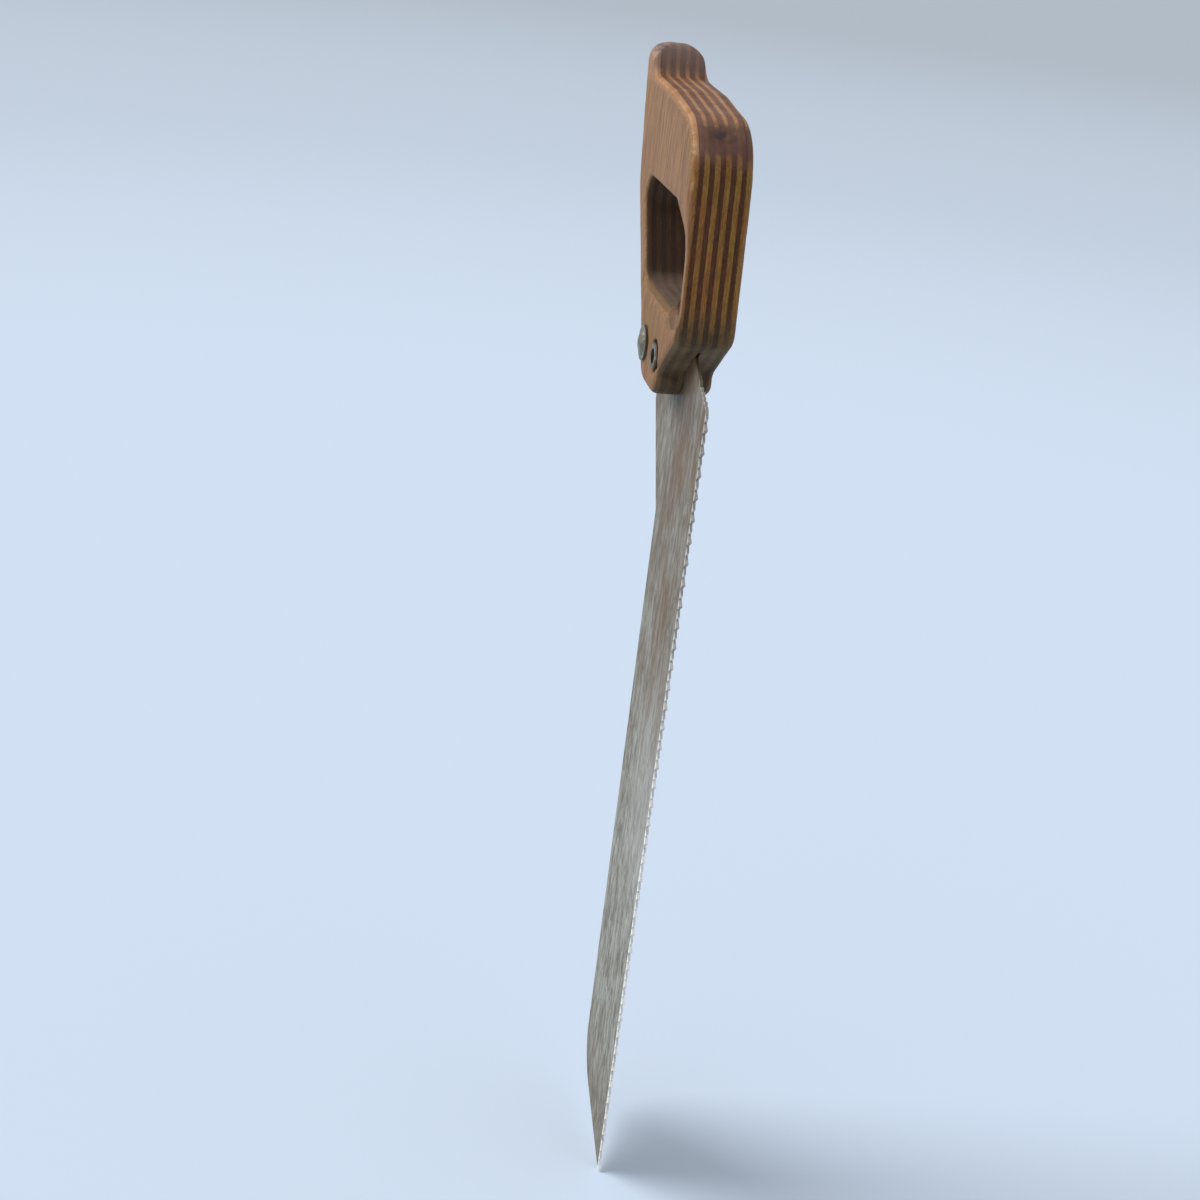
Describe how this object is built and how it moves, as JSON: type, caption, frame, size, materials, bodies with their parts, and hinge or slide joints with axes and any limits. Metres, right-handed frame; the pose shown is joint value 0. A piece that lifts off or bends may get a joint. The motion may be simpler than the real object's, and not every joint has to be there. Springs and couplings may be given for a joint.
{
  "type": "bone saw",
  "caption": "Butcher's hand saw for bone: a closed plywood D-handle with a hand hole, bolted to a tapering toothed steel blade.",
  "frame": {"origin": "middle of the hand hole's top wall, on the handle's mid-plane, where the saw hangs on a peg", "axes": "+Z from the blade's toe up to the handle, +X across the blade towards the teeth, +Y through the handle's thickness"},
  "size_m": [0.1362, 0.0272, 0.4649],
  "materials": {
    "face_veneer": "worn brown face veneer, long grain along the handle, grime in the rims",
    "light_ply": "oiled light veneer, long grain at the edge",
    "dark_ply": "oiled end grain of the cross veneers, dark with use",
    "blade_steel": "rolled spring steel, streaked, brown stain near the handle",
    "fastener_steel": "dull grey-green patina with dark grime round the rims"
  },
  "bodies": {
    "saw": {"ply_01_left_face": "face_veneer", "ply_02_core": "light_ply", "ply_03_core": "dark_ply", "ply_04_core": "light_ply", "ply_05_core": "dark_ply", "ply_06_core": "light_ply", "ply_07_kerf_core": "dark_ply", "ply_08_core": "light_ply", "ply_09_core": "dark_ply", "ply_10_core": "light_ply", "ply_11_core": "dark_ply", "ply_12_core": "light_ply", "ply_13_right_face": "face_veneer", "blade": "blade_steel", "rear_bolt": "fastener_steel", "rear_head_washer": "fastener_steel", "rear_nut_washer": "fastener_steel", "front_bolt": "fastener_steel", "front_head_washer": "fastener_steel", "front_nut_washer": "fastener_steel"},
    "rear_nut": {"rear_nut": "fastener_steel"},
    "front_nut": {"front_nut": "fastener_steel"}
  },
  "joints": [
    {"name": "rear_nut_spin", "type": "hinge", "parent": "saw", "child": "rear_nut", "pos_m": [0.0005, 0.0108, -0.06], "axis": [0, 1, 0], "continuous": true},
    {"name": "front_nut_spin", "type": "hinge", "parent": "saw", "child": "front_nut", "pos_m": [0.0205, -0.0108, -0.06], "axis": [0, 1, 0], "continuous": true}
  ]
}
